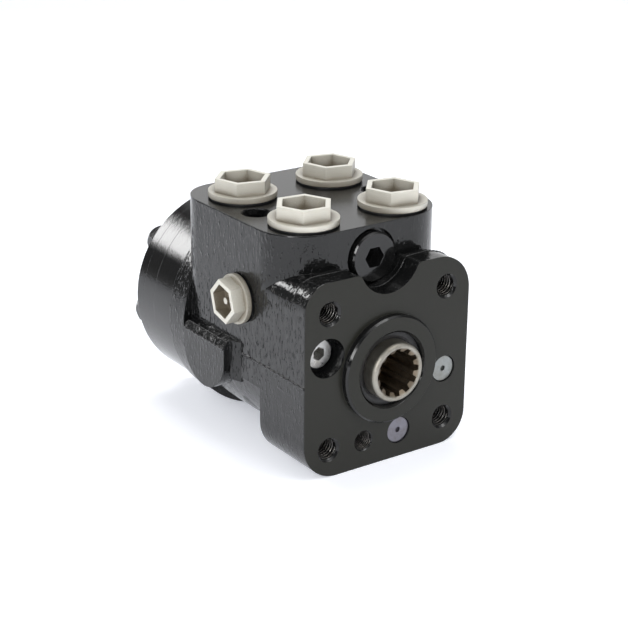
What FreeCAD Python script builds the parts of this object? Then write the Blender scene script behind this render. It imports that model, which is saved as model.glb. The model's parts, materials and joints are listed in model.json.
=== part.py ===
import FreeCAD, Part
import math
import os

# Orbital steering unit: a rotary spool valve in a cast housing, with an orbiting gear set behind it.
# The origin is the middle of the steering column face, where the input axis crosses it.
# -Y points out of that face towards the column, +Y runs to the end cover and +Z out of the port face.
# All sizes are in millimetres and all angles are in degrees.

# Clearances that every fit is worked out from
running_gap = 0.03
free_gap = 0.1
seal_gap = 0.05
thread_gap = 0.05

# Cast housing
side_flat_inset = 1.4
flange_bottom = -41.3
flange_top = 42.3
flange_depth = 32.0
lip_depth = 9.0
lip_step = 0.8
flange_radius_top_left = 11.0
flange_radius_top_right = 16.0
flange_radius_bottom_left = 16.0
flange_radius_bottom_right = 13.0
port_face_z = 57.3
block_front_y = 12.6
block_front_radius = 20.0
block_rear_radius = 17.0
block_bottom_z = -10.8
housing_rear_y = 97.0
barrel_inset = 1.5
rear_flange_overhang = 1.4
rear_flange_thickness = 12.0
lug_radius = 16.2
lug_middle_z = -5.0
lug_height = 4.9
lug_rear_gap = 0.8
lug_rear_round = 4.0
lug_ledge_z = 4.6
lug_ledge_width = 3.1
lug_ledge_fall = 1.0
lug_shoulder_fall = 2.8
lug_root_depth = 5.0
lug_fold_height = 1.9
lug_fold_length = 5.8
scallop_radius = 15.0
scallop_z = 47.0
scallop_lead_radius = 3.0
boss_radius = 23.0
boss_height = 3.1
boss_chamfer = 0.8

# Front bore, seals and thrust bearing, from the column side inwards
neck_radius = 12.5
front_bore_radius = 15.75
front_bore_chamfer = 0.9
front_bore_end_y = 4.0
shaft_seal_radius = 17.0
shaft_seal_width = 5.5
shoulder_thickness = 1.5
dust_seal_y = -0.6
dust_seal_width = 3.0
dust_lip_width = 1.3
dust_lip_setback = 0.4
dust_lip_land = 0.6
shaft_seal_heel = 2.0
shaft_seal_relief = 1.6
shaft_seal_slope = 1.0
race_thickness = 1.5
race_inner_radius = 12.9
needle_radius = 1.0
needle_length = 3.6
needle_count = 16
needle_slack = 0.02
cage_thickness = 1.4
cage_radius = 18.4

# Rotary valve
main_bore_radius = 19.0
sleeve_wall = 4.94
sleeve_end_gap = 0.1
spring_ring_wall = 1.5
spring_ring_width = 8.6
spring_y = 20.5
spring_width = 5.4
spring_thickness = 0.6
spring_pack_half_height = 2.4
gallery_depth = 3.0
gallery_width = 7.0
metering_holes = 12
metering_hole_radius = 1.2
spool_slots = 6
spool_slot_width = 3.0
spool_slot_depth = 1.5
spool_slot_length = 26.0
spool_end_setback = 3.0
hub_face_y = -7.0
hub_round = 1.2
hub_corner = 0.36
spline_teeth = 12
spline_major_radius = 10.3
spline_minor_radius = 8.75
spline_lead_radius = 10.6
spline_lead_depth = 1.2
spline_depth = 20.0
spline_root_share = 0.62
spline_tip_share = 0.42
spool_bore_radius = 10.5
spool_bore_start_y = 34.0
spool_bore_point = 2.0
pin_radius = 4.0
pin_chamfer = 0.5
spool_slot_offset = 3.0
spool_swing = 10.0

# Gear set: rotor teeth, one lobe more in the ring, and the eccentricity between their axes
rotor_teeth = 6
eccentricity = 3.5
lobe_circle_radius = 37.5
lobe_radius = 8.5
tooth_gap = 0.05
pocket_gap = 0.15
side_gap = 0.05
gear_width = 9.1
rotor_curve_points_per_tooth = 12
rotor_spline_major = 11.9
rotor_spline_minor = 10.4

# Cardan shaft between the cross pin and the rotor
fork_radius = 8.3
fork_gap = 0.6
fork_reach = 8.0
cardan_waist_radius = 6.5
cardan_neck_radius = 8.5
head_length = 5.9
head_start_gap = 1.0
head_flank_gap = 0.3
head_root_share = 0.52
head_tip_share = 0.30
cardan_taper_length = 5.0
cardan_fork_chamfer = 1.0
spacer_radius = 8.5
spacer_gap = 0.6

# Rear stack
drum_wall = 6.5
plate_thickness = 16.3
plate_bore_radius = 13.0
cover_thickness = 6.0
cover_round = 0.8
passage_inset = 7.5
passage_radius = 2.2
housing_passage_depth = 18.0
o_ring_inset = 2.1
o_ring_width = 1.6
o_ring_height = 1.2
o_ring_corner = 0.3

# Cover bolts
bolt_inset = 1.5
first_bolt_angle = 90.0
bolt_radius = 4.0
bolt_hole_gap = 0.2
bolt_head_flats = 13.0
bolt_head_height = 5.3
bolt_head_dome = 1.6
bolt_head_top_inset = 0.2
bolt_turn_step = 13.0
bolt_bite = 14.0
washer_radius = 6.5
washer_thickness = 1.0
pin_bolt_nose_radius = 2.4
pin_bolt_nose_length = 6.0

# Ports and their caps
port_x = 22.2
port_front_y = 28.55
port_rear_inset = 23.5
port_thread_radius = 9.3
port_depth = 16.0
port_passage_radius = 4.0
port_passage_inset = 3.7
cap_flange_radius = 14.5
cap_flange_thickness = 2.3
cap_hex_flats = 21.3
cap_hex_height = 5.6
cap_wall = 2.1
cap_shank_length = 9.0
cap_floor = 1.6
cap_seal_thickness = 0.8
cap_seal_inset = 0.6
cap_turns = {"front_left": 54.0, "front_right": 49.5, "rear_left": 46.0, "rear_right": 47.0}

# Side port for the load sensing line, and its cap
side_port_y = 47.0
side_port_z = 24.0
side_port_thread_radius = 5.9
side_port_depth = 13.0
side_cap_flange_radius = 10.5
side_cap_flange_thickness = 2.0
side_cap_hex_flats = 16.2
side_cap_hex_height = 5.6
side_cap_wall = 1.9
side_cap_shank_length = 7.0
side_cap_seal_thickness = 0.7
side_cap_turn = 16.5
side_cap_post_radius = 1.4
side_cap_post_height = 4.0

# Threaded holes
column_bolt_circle = 82.5
m10_tap_radius = 4.25
m10_chamfer_radius = 5.3
m10_chamfer_depth = 1.0
column_hole_depth = 18.0
top_hole_x = 30.0
top_hole_y = 51.0
top_hole_depth = 15.0
top_hole_chamfer_radius = 6.3
top_hole_chamfer_depth = 2.0
front_hole_x = -11.7
front_hole_z = -29.7
front_hole_radius = 4.1
front_hole_depth = 14.0
front_hole_chamfer = 0.5

# Relief valve of the load sensing line, behind the recess on the left of the column face
relief_x = -30.2
relief_z = 10.8
recess_radius = 8.25
recess_depth = 9.0
screw_radius = 6.5
screw_face_y = 6.0
screw_length = 12.0
screw_socket_flats = 5.0
screw_socket_depth = 6.0
screw_socket_turn = 30.0
plug_chamfer = 0.6
relief_chamber_radius = 4.6
relief_seat_y = 38.0
relief_seat_length = 4.0
relief_seat_hole_radius = 1.5
relief_cone_radius = 3.2
relief_cone_guide = 2.3
relief_cone_tip_radius = 0.8
relief_spring_radius = 3.4

# Shock valves behind the two plain discs on the column face
shock_valves = {"right": (29.2, -7.4), "bottom": (6.3, -29.5)}
shock_plug_radius = 5.7
shock_plug_setback = 0.7
shock_plug_length = 8.8
shock_socket_radius = 1.2
shock_socket_depth = 1.5
shock_plug_chamfer = 0.3
shock_chamber_radius = 4.4
shock_seat_y = 32.0
shock_seat_hole_radius = 2.2
shock_seat_hole_length = 12.0
shock_ball_radius = 3.2
shock_spring_radius = 3.1

# Check valve behind the socket plug between the front ports
check_z = 44.0
check_plug_head_radius = 10.5
check_plug_proud = 2.0
check_plug_thread_radius = 7.95
check_plug_thread_length = 9.0
check_plug_socket_flats = 8.0
check_plug_socket_depth = 6.0
check_seat_recess_radius = 11.8
check_seat_recess_depth = 3.0
check_seal_thickness = 0.35
check_chamber_radius = 4.6
check_seat_y = 38.0
check_seat_hole_radius = 3.0
check_seat_hole_length = 8.0
check_ball_radius = 4.25
check_spring_radius = 3.3

# Suction valves in the rear face of the housing
suction_angles = {"left": 244.2857, "right": 295.7143}
suction_wall = 3.5
suction_bore_radius = 3.5
suction_bore_depth = 14.0
suction_ball_radius = 3.0
suction_seat_hole_radius = 1.6
suction_seat_hole_length = 5.0
suction_pin_radius = 1.2
suction_lift = 1.5

# Coil springs
wire_radius = 0.45
coil_pitch = 2.4
wire_sides = 6
spring_gap = 0.3

# Circles round the input axis, worked out from the gear set outwards
drum_radius = lobe_circle_radius + drum_wall
barrel_radius = drum_radius - barrel_inset
half_width = barrel_radius - side_flat_inset
rear_flange_radius = drum_radius + rear_flange_overhang
bolt_circle_radius = lobe_circle_radius - bolt_inset
passage_circle_radius = lobe_circle_radius - passage_inset
suction_circle_radius = main_bore_radius + suction_wall + suction_bore_radius
o_ring_middle_radius = drum_radius - o_ring_inset

# Stations along Y, worked out from the sizes above
lobe_count = rotor_teeth + 1
lobe_step = 360.0 / lobe_count
port_rear_y = housing_rear_y - port_rear_inset
boss_face_y = -boss_height
shoulder_start_y = front_bore_end_y + shaft_seal_width
main_bore_start_y = shoulder_start_y + shoulder_thickness
needle_start_y = main_bore_start_y + race_thickness
inner_race_start_y = needle_start_y + 2 * needle_radius
sleeve_start_y = inner_race_start_y + race_thickness + seal_gap
sleeve_end_y = housing_rear_y - sleeve_end_gap
sleeve_outer_radius = main_bore_radius - running_gap
sleeve_inner_radius = sleeve_outer_radius - sleeve_wall
spool_radius = sleeve_inner_radius - running_gap
spool_shoulder_y = sleeve_start_y + free_gap
spool_end_y = sleeve_end_y - spool_end_setback
spline_end_y = hub_face_y + spline_depth
spring_ring_start_y = sleeve_start_y + free_gap
spring_ring_end_y = spring_ring_start_y + spring_ring_width
spring_land_radius = sleeve_outer_radius - spring_ring_wall - running_gap
pin_y = (port_front_y + port_rear_y) / 2
lug_rear_y = housing_rear_y - rear_flange_thickness - lug_rear_gap
lug_front_y = lug_rear_y - 2 * lug_radius
ring_front_y = housing_rear_y + plate_thickness
ring_rear_y = ring_front_y + gear_width
cover_rear_y = ring_rear_y + cover_thickness
head_start_y = ring_front_y + head_start_gap
head_end_y = head_start_y + head_length
head_middle_y = (head_start_y + head_end_y) / 2
bolt_hole_radius = bolt_radius + bolt_hole_gap
check_plug_face_y = block_front_y - check_plug_proud
check_seal_y = block_front_y + check_seat_recess_depth - check_seal_thickness - seal_gap
check_plug_end_y = check_seal_y + check_plug_thread_length
cardan_tilt = math.degrees(math.asin(eccentricity / (head_middle_y - pin_y)))
bolt_angles = [first_bolt_angle + k * lobe_step for k in range(lobe_count)]
pocket_angles = [angle + lobe_step / 2 for angle in bolt_angles]
column_hole_offset = column_bolt_circle / 2 * math.sin(math.radians(45))


def vec(x, y, z):
    return FreeCAD.Vector(x, y, z)


def polar(radius, angle):
    """Point on a circle round the input axis: x and z."""
    turn = math.radians(angle)
    return radius * math.cos(turn), radius * math.sin(turn)


def box(x0, x1, y0, y1, z0, z1):
    return Part.makeBox(x1 - x0, y1 - y0, z1 - z0, vec(x0, y0, z0))


def rod_y(radius, y0, y1, x=0.0, z=0.0):
    return Part.makeCylinder(radius, y1 - y0, vec(x, y0, z), vec(0, 1, 0))


def rod_z(radius, z0, z1, x=0.0, y=0.0):
    return Part.makeCylinder(radius, z1 - z0, vec(x, y, z0), vec(0, 0, 1))


def cone_y(radius_0, radius_1, y0, y1, x=0.0, z=0.0):
    return Part.makeCone(radius_0, radius_1, y1 - y0, vec(x, y0, z), vec(0, 1, 0))


def ring_y(outer, inner, y0, y1, x=0.0, z=0.0):
    return rod_y(outer, y0, y1, x, z).cut(rod_y(inner, y0, y1, x, z))


def turned(profile):
    """Solid of revolution round the Y axis; the profile is a list of (radius, y)."""
    points = [vec(radius, y, 0) for radius, y in profile]
    face = Part.Face(Part.makePolygon(points + points[:1]))
    return face.revolve(vec(0, 0, 0), vec(0, 1, 0), 360)


def prism_y(outline, y0, y1):
    """Straight prism along Y; the outline is a list of (x, z)."""
    points = [vec(x, y0, z) for x, z in outline]
    face = Part.Face(Part.makePolygon(points + points[:1]))
    return face.extrude(vec(0, y1 - y0, 0))


def hexagon(flats, turn, middle_x=0.0, middle_z=0.0):
    """Corners of a hexagon given across its flats, with one corner at the turn angle."""
    radius = flats / 2 / math.cos(math.radians(30))
    corners = [polar(radius, turn + 60 * k) for k in range(6)]
    return [(middle_x + x, middle_z + z) for x, z in corners]


def spline_outline(teeth, root_radius, tip_radius, root_share, tip_share):
    """Outline of straight-flanked teeth; the shares are a tooth's width as parts of its pitch."""
    pitch = 360.0 / teeth
    outline = []
    for k in range(teeth):
        middle = k * pitch
        outline.append(polar(root_radius, middle - root_share * pitch / 2))
        outline.append(polar(tip_radius, middle - tip_share * pitch / 2))
        outline.append(polar(tip_radius, middle + tip_share * pitch / 2))
        outline.append(polar(root_radius, middle + root_share * pitch / 2))
    return outline


def joined(solids):
    """One solid out of overlapping ones, without the seams between them."""
    return solids[0].fuse(solids[1:]).removeSplitter()


def round_edges(shape, radius, middles):
    """Rounds the edges whose middle points are given."""
    near = 0.01
    chosen = []
    for edge in shape.Edges:
        if any(edge.CenterOfMass.distanceToPoint(middle) < near for middle in middles):
            chosen.append(edge)
    return shape.makeFillet(radius, chosen)


def coil_spring(radius, y0, y1, x, z):
    """Coil spring along Y with free ends just inside y0 and y1."""
    height = y1 - y0 - 2 * wire_radius
    helix = Part.makeHelix(coil_pitch, height, radius)
    corners = []
    for k in range(wire_sides + 1):
        across, up = polar(wire_radius, 360.0 / wire_sides * k)
        corners.append(vec(radius + across, 0, up))
    section = Part.makePolygon(corners)
    coil = Part.Wire(helix.Edges).makePipeShell([section], True, True)
    coil.rotate(vec(0, 0, 0), vec(1, 0, 0), -90)
    coil.translate(vec(x, y0 + wire_radius, z))
    return coil


def write(name, shape):
    """Checks a piece and writes it as its own file."""
    if not shape.isValid() or shape.Volume <= 0:
        raise ValueError(name + " is not a sound solid")
    shape.exportStep("parts/" + name + ".step")
    print(name, "solids", len(shape.Solids), "volume", round(shape.Volume, 1))


# Housing

def flange_slab(y0, y1, top):
    """Slab of the square flange between two depths, with its own radius at each corner."""
    slab = box(-half_width, half_width, y0, y1, flange_bottom, top)
    middle_y = (y0 + y1) / 2
    corners = [
        (flange_radius_top_left, -half_width, top),
        (flange_radius_top_right, half_width, top),
        (flange_radius_bottom_left, -half_width, flange_bottom),
        (flange_radius_bottom_right, half_width, flange_bottom),
    ]
    for radius, x, z in corners:
        slab = round_edges(slab, radius, [vec(x, middle_y, z)])
    return slab


def with_scallop(slab, y0, y1, radius, top):
    """Slab with the scallop for the plug cut in its top edge, and the cut's corners rounded."""
    slab = slab.cut(rod_y(radius, y0 - 1, y1 + 1, 0, scallop_z))
    reach = math.sqrt(radius ** 2 - (scallop_z - top) ** 2)
    corners = [vec(side * reach, (y0 + y1) / 2, top) for side in (-1, 1)]
    return round_edges(slab, scallop_lead_radius, corners)


def flange_block():
    """Mounting flange: a lip in front, then a slightly lower rim up to the front wall."""
    rim_top = flange_top - lip_step
    lip = with_scallop(flange_slab(0, lip_depth, flange_top), 0, lip_depth, scallop_radius, flange_top)
    rim = with_scallop(
        flange_slab(lip_depth, block_front_y, rim_top), lip_depth, block_front_y,
        scallop_radius + lip_step, rim_top)
    return lip.fuse([rim, flange_slab(block_front_y, flange_depth, rim_top)])


def port_block():
    """Upright block with the port face on top and round vertical corners."""
    block = box(-half_width, half_width, block_front_y, housing_rear_y, block_bottom_z, port_face_z)
    middle_z = (block_bottom_z + port_face_z) / 2
    front = [vec(side * half_width, block_front_y, middle_z) for side in (-1, 1)]
    rear = [vec(side * half_width, housing_rear_y, middle_z) for side in (-1, 1)]
    block = round_edges(block, block_front_radius, front)
    return round_edges(block, block_rear_radius, rear)


def barrel():
    """Round lower body, cut flat where it would pass the sides of the block."""
    body = rod_y(barrel_radius, flange_depth - 1, housing_rear_y)
    sides = box(-half_width, half_width, 0, housing_rear_y, -barrel_radius, barrel_radius)
    return body.common(sides)


def side_lug(side):
    """Cast lug on the side of the barrel: a flat face with a round lower end and a sloping ledge on top."""
    root = side * (half_width - lug_root_depth)
    face = side * (half_width + lug_height)
    middle = lug_rear_y - lug_radius
    arc = Part.Arc(
        vec(root, lug_rear_y, lug_middle_z), vec(root, middle, lug_middle_z - lug_radius),
        vec(root, lug_front_y, lug_middle_z))
    corners = [
        vec(root, lug_front_y, lug_middle_z),
        vec(root, lug_front_y, lug_ledge_z),
        vec(root, lug_rear_y, lug_ledge_z),
        vec(root, lug_rear_y, lug_middle_z),
    ]
    outline = Part.Wire([arc.toShape()] + Part.makePolygon(corners).Edges)
    lug = Part.Face(outline).extrude(vec(face - root, 0, 0))
    lug = round_edges(lug, lug_rear_round, [vec((root + face) / 2, lug_rear_y, lug_ledge_z)])
    return joined([lug, lug_fold(side)]).cut(lug_top_cut(side))


def lug_fold(side):
    """Sloping fold of metal between the lug's front and the flat wall."""
    root = side * (half_width - lug_root_depth)
    bottom = lug_middle_z - lug_radius / 2
    corners = [
        vec(root, lug_front_y, bottom),
        vec(side * (half_width + lug_fold_height), lug_front_y, bottom),
        vec(side * half_width, lug_front_y - lug_fold_length, bottom),
        vec(root, lug_front_y - lug_fold_length, bottom),
    ]
    fold = Part.Face(Part.makePolygon(corners + corners[:1]))
    return fold.extrude(vec(0, 0, lug_ledge_z - bottom))


def lug_top_cut(side):
    """What is cut off above the lug's ledge and its sloping shoulder."""
    wall = side * half_width
    face = side * (half_width + lug_height)
    ledge_end = lug_ledge_z - lug_ledge_fall
    outline = [
        (wall, lug_ledge_z),
        (wall + side * lug_ledge_width, ledge_end),
        (face, ledge_end - lug_shoulder_fall),
        (face + side, ledge_end - lug_shoulder_fall),
        (face + side, lug_ledge_z + 1),
        (wall, lug_ledge_z + 1),
    ]
    return prism_y(outline, lug_front_y - lug_fold_length - 1, lug_rear_y + 1)


def pilot_boss():
    """Raised round boss round the input hub, with a chamfered rim."""
    return turned([
        (0, 1),
        (boss_radius, 1),
        (boss_radius, boss_face_y + boss_chamfer),
        (boss_radius - boss_chamfer, boss_face_y),
        (0, boss_face_y),
    ])


def input_bores():
    """Everything on the input axis: front bore, seal groove, main bore and its galleries."""
    chamfer_end = boss_face_y + front_bore_chamfer
    outer = front_bore_radius + front_bore_chamfer
    cuts = [
        rod_y(front_bore_radius, boss_face_y - 1, front_bore_end_y),
        cone_y(outer, front_bore_radius, boss_face_y, chamfer_end),
        rod_y(shaft_seal_radius, front_bore_end_y, shoulder_start_y),
        rod_y(race_inner_radius, front_bore_end_y, housing_rear_y),
        rod_y(main_bore_radius, main_bore_start_y, housing_rear_y + 1),
    ]
    for y in (port_front_y, port_rear_y):
        gallery_radius = main_bore_radius + gallery_depth
        cuts.append(rod_y(gallery_radius, y - gallery_width / 2, y + gallery_width / 2))
    return cuts


def port_bores():
    """Four ports in the top face, each with a passage down to its gallery."""
    cuts = []
    bottom = port_face_z - port_depth
    for x in (-port_x, port_x):
        passage_x = math.copysign(port_x - port_passage_inset, x)
        for y in (port_front_y, port_rear_y):
            cuts.append(rod_z(port_thread_radius, bottom, port_face_z + 1, x, y))
            cuts.append(rod_z(port_passage_radius, port_passage_radius, bottom, passage_x, y))
    return cuts


def side_port_bore():
    """Load sensing port in the left side, and its drilling down to the relief valve."""
    start = -half_width - 1
    depth = side_port_depth + 1
    mouth = vec(start, side_port_y, side_port_z)
    bore = Part.makeCylinder(side_port_thread_radius, depth, mouth, vec(1, 0, 0))
    down = rod_z(passage_radius, relief_z, side_port_z, relief_x, side_port_y)
    return [bore, down]


def tapped_hole_y(radius, depth, chamfer_radius, chamfer_depth, x, z):
    """Blind hole into the column face, with a chamfered mouth."""
    hole = rod_y(radius, -1, depth, x, z)
    return hole.fuse(cone_y(chamfer_radius, radius, 0, chamfer_depth, x, z))


def column_holes():
    cuts = []
    for x in (-column_hole_offset, column_hole_offset):
        for z in (-column_hole_offset, column_hole_offset):
            cuts.append(tapped_hole_y(
                m10_tap_radius, column_hole_depth, m10_chamfer_radius, m10_chamfer_depth, x, z))
    front_chamfer_radius = front_hole_radius + front_hole_chamfer
    cuts.append(tapped_hole_y(
        front_hole_radius, front_hole_depth, front_chamfer_radius, front_hole_chamfer,
        front_hole_x, front_hole_z))
    return cuts


def top_holes():
    """Two tapped holes in the port face, between the ports of each side."""
    cuts = []
    for x in (-top_hole_x, top_hole_x):
        hole = rod_z(m10_tap_radius, port_face_z - top_hole_depth, port_face_z + 1, x, top_hole_y)
        start = vec(x, top_hole_y, port_face_z - top_hole_chamfer_depth)
        mouth = Part.makeCone(
            m10_tap_radius, top_hole_chamfer_radius, top_hole_chamfer_depth, start, vec(0, 0, 1))
        cuts.append(hole.fuse(mouth))
    return cuts


def relief_bore():
    """Stepped bore of the relief valve: recess, screw thread, spring chamber, seat and outlet."""
    screw_end = screw_face_y + screw_length
    return [
        rod_y(recess_radius, -1, recess_depth, relief_x, relief_z),
        rod_y(screw_radius + thread_gap, recess_depth, screw_end + 1, relief_x, relief_z),
        rod_y(relief_chamber_radius, screw_end, relief_seat_y + relief_seat_length, relief_x, relief_z),
        rod_y(passage_radius, relief_seat_y, side_port_y + passage_radius, relief_x, relief_z),
    ]


def shock_bore(place):
    """Stepped bore of one shock valve."""
    x, z = place
    plug_end = shock_plug_setback + shock_plug_length
    seat_hole_end = shock_seat_y + shock_seat_hole_length
    return [
        rod_y(shock_plug_radius + thread_gap, -1, plug_end, x, z),
        rod_y(shock_chamber_radius, plug_end - 1, shock_seat_y, x, z),
        rod_y(shock_seat_hole_radius, shock_seat_y - 1, seat_hole_end, x, z),
    ]


def check_bore():
    """Stepped bore of the check valve, in the wall above the flange."""
    recess_end = block_front_y + check_seat_recess_depth
    thread_end = check_plug_end_y + 1
    seat_hole_end = check_seat_y + check_seat_hole_length
    return [
        rod_y(check_seat_recess_radius, block_front_y - 1, recess_end, 0, check_z),
        rod_y(check_plug_thread_radius + thread_gap, recess_end - 1, thread_end, 0, check_z),
        rod_y(check_chamber_radius, check_plug_end_y, check_seat_y, 0, check_z),
        rod_y(check_seat_hole_radius, check_seat_y - 1, seat_hole_end, 0, check_z),
    ]


def rear_face_holes():
    """Bolt holes, timing passages and suction bores in the rear face of the housing."""
    cuts = []
    for angle in bolt_angles:
        x, z = polar(bolt_circle_radius, angle)
        start = housing_rear_y - bolt_bite - pin_bolt_nose_length - 1
        cuts.append(rod_y(bolt_radius + thread_gap, start, housing_rear_y + 1, x, z))
    for angle in pocket_angles:
        x, z = polar(passage_circle_radius, angle)
        start = housing_rear_y - housing_passage_depth
        cuts.append(rod_y(passage_radius, start, housing_rear_y + 1, x, z))
    for angle in suction_angles.values():
        x, z = polar(suction_circle_radius, angle)
        seat_y = housing_rear_y - suction_bore_depth
        cuts.append(rod_y(suction_bore_radius, seat_y, housing_rear_y + 1, x, z))
        cuts.append(rod_y(suction_seat_hole_radius, seat_y - suction_seat_hole_length, seat_y, x, z))
    return cuts


def housing():
    rear_flange = rod_y(rear_flange_radius, housing_rear_y - rear_flange_thickness, housing_rear_y)
    casting = joined([
        port_block(), flange_block(), barrel(), rear_flange, side_lug(-1), side_lug(1), pilot_boss()])
    cuts = input_bores() + port_bores() + side_port_bore() + column_holes() + top_holes()
    cuts += relief_bore() + check_bore() + rear_face_holes()
    for place in shock_valves.values():
        cuts += shock_bore(place)
    return casting.cut(cuts)


# Front seals and thrust bearing

def dust_seal():
    """Wiper ring at the mouth of the front bore, with a lip that leans on the hub."""
    outer = front_bore_radius - seal_gap
    lip = neck_radius + seal_gap
    return turned([
        (outer, dust_seal_y),
        (outer, dust_seal_y + dust_seal_width),
        (lip + dust_lip_width, dust_seal_y + dust_seal_width),
        (lip, dust_seal_y + dust_lip_setback + dust_lip_land),
        (lip, dust_seal_y + dust_lip_setback),
        (lip + dust_lip_width, dust_seal_y),
    ])


def shaft_seal():
    """Pressure seal in its groove round the spool neck."""
    outer = shaft_seal_radius - seal_gap
    lip = neck_radius + seal_gap
    start = front_bore_end_y + seal_gap
    end = shoulder_start_y - seal_gap
    return turned([
        (outer, start),
        (outer, end),
        (lip + shaft_seal_heel, end),
        (lip + shaft_seal_heel, end - shaft_seal_relief),
        (lip, end - shaft_seal_relief - shaft_seal_slope),
        (lip, start),
    ])


def thrust_race(start):
    return ring_y(cage_radius, race_inner_radius, start, start + race_thickness)


def needle_middle_radius():
    return (cage_radius + race_inner_radius) / 2


def thrust_needles():
    """Needle rollers lying in a star round the input axis."""
    needles = []
    y = needle_start_y + needle_radius
    inner_end = needle_middle_radius() - needle_length / 2
    radius = needle_radius - needle_slack
    for k in range(needle_count):
        x, z = polar(1, 360.0 / needle_count * k)
        start = vec(x * inner_end, y, z * inner_end)
        needles.append(Part.makeCylinder(radius, needle_length, start, vec(x, 0, z)))
    return Part.makeCompound(needles)


def thrust_cage():
    """Flat cage with one window for each needle."""
    middle_y = needle_start_y + needle_radius
    start = middle_y - cage_thickness / 2
    cage = ring_y(cage_radius, race_inner_radius, start, start + cage_thickness)
    inner = needle_middle_radius() - needle_length / 2 - free_gap
    outer = needle_middle_radius() + needle_length / 2 + free_gap
    half_height = needle_radius + free_gap
    windows = []
    for k in range(needle_count):
        window = box(inner, outer, start - 1, start + cage_thickness + 1, -half_height, half_height)
        window.rotate(vec(0, 0, 0), vec(0, 1, 0), -360.0 / needle_count * k)
        windows.append(window)
    return cage.cut(windows)


# Rotary valve

def sleeve():
    """Outer valve member with a land for the spring ring, spring windows and metering holes."""
    body = ring_y(sleeve_outer_radius, sleeve_inner_radius, sleeve_start_y, sleeve_end_y)
    land_end = spring_ring_end_y + free_gap
    half_spring = spring_width / 2 + free_gap
    half_window = spring_pack_half_height + free_gap
    reach = main_bore_radius
    cuts = [
        ring_y(reach, spring_land_radius, sleeve_start_y, land_end),
        box(-reach, reach, spring_y - half_spring, spring_y + half_spring, -half_window, half_window),
        Part.makeCylinder(pin_radius + running_gap, 2 * reach, vec(-reach, pin_y, 0), vec(1, 0, 0)),
    ]
    for y in (port_front_y, port_rear_y):
        for k in range(metering_holes):
            x, z = polar(1, 360.0 / metering_holes * (k + 0.5))
            cuts.append(Part.makeCylinder(metering_hole_radius, reach, vec(0, y, 0), vec(x, 0, z)))
    return body.cut(cuts)


def spool():
    """Inner valve member: splined hub, neck, control slots, cross pin slot and cardan bore."""
    body = turned([
        (0, hub_face_y),
        (neck_radius - hub_round, hub_face_y),
        (neck_radius - hub_corner, hub_face_y + hub_corner),
        (neck_radius, hub_face_y + hub_round),
        (neck_radius, spool_shoulder_y),
        (spool_radius, spool_shoulder_y),
        (spool_radius, spool_end_y),
        (spool_bore_radius, spool_end_y),
        (spool_bore_radius, spool_bore_start_y),
        (0, spool_bore_start_y - spool_bore_point),
    ])
    socket = spline_outline(
        spline_teeth, spline_minor_radius, spline_major_radius, spline_root_share, spline_tip_share)
    pin_half_height = pin_radius + spool_radius * math.sin(math.radians(spool_swing)) + free_gap
    half_pin_slot = pin_radius + free_gap
    half_spring = spring_width / 2 + free_gap
    half_window = spring_pack_half_height + free_gap
    reach = spool_radius + 1
    cuts = [
        prism_y(socket, hub_face_y - 1, spline_end_y),
        cone_y(spline_lead_radius, spline_minor_radius, hub_face_y, hub_face_y + spline_lead_depth),
        box(-reach, reach, pin_y - half_pin_slot, pin_y + half_pin_slot, -pin_half_height, pin_half_height),
        box(-reach, reach, spring_y - half_spring, spring_y + half_spring, -half_window, half_window),
    ]
    slot_start = pin_y + pin_radius + spool_slot_offset
    for k in range(spool_slots):
        slot = box(
            spool_radius - spool_slot_depth, reach, slot_start, slot_start + spool_slot_length,
            -spool_slot_width / 2, spool_slot_width / 2)
        slot.rotate(vec(0, 0, 0), vec(0, 1, 0), 360.0 / spool_slots * (k + 0.5))
        cuts.append(slot)
    return body.cut(cuts)


def spring_ring():
    """Ring that keeps the centring springs in the sleeve."""
    outer = sleeve_outer_radius
    inner = spring_land_radius + running_gap
    return ring_y(outer, inner, spring_ring_start_y, spring_ring_end_y)


def bowed_leaf(side):
    """One bowed leaf: its middle lies on the flat leaves and its ends lean on the slot."""
    half_length = math.sqrt(spring_land_radius ** 2 - spring_pack_half_height ** 2) - free_gap
    low = spring_thickness + free_gap
    high = spring_pack_half_height - spring_thickness
    y0 = spring_y - spring_width / 2
    arcs = []
    for lift in (0, spring_thickness):
        left = vec(-half_length, y0, side * (high + lift))
        middle = vec(0, y0, side * (low + lift))
        right = vec(half_length, y0, side * (high + lift))
        arcs.append(Part.Arc(left, middle, right).toShape())
    ends = []
    for x in (-half_length, half_length):
        lower = vec(x, y0, side * high)
        upper = vec(x, y0, side * (high + spring_thickness))
        ends.append(Part.LineSegment(lower, upper).toShape())
    outline = Part.Wire(Part.__sortEdges__(arcs + ends))
    return Part.Face(outline).extrude(vec(0, spring_width, 0))


def centring_springs():
    """Pack of leaf springs through the slot: two flat leaves between two bowed ones."""
    half_length = spring_land_radius - free_gap
    y0 = spring_y - spring_width / 2
    y1 = spring_y + spring_width / 2
    gap = free_gap / 2
    leaves = [
        box(-half_length, half_length, y0, y1, gap, gap + spring_thickness - free_gap),
        box(-half_length, half_length, y0, y1, -gap - spring_thickness + free_gap, -gap),
        bowed_leaf(1),
        bowed_leaf(-1),
    ]
    return Part.makeCompound(leaves)


def cross_pin():
    """Pin through sleeve and spool, with chamfered ends."""
    half_length = math.sqrt(sleeve_outer_radius ** 2 - pin_radius ** 2)
    pin = Part.makeCylinder(pin_radius, 2 * half_length, vec(-half_length, pin_y, 0), vec(1, 0, 0))
    ends = [edge for edge in pin.Edges if abs(edge.CenterOfMass.x) > half_length - 0.1]
    return pin.makeChamfer(pin_chamfer, ends)


# Gear set

def lobe_places():
    return [polar(lobe_circle_radius, angle) for angle in bolt_angles]


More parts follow.
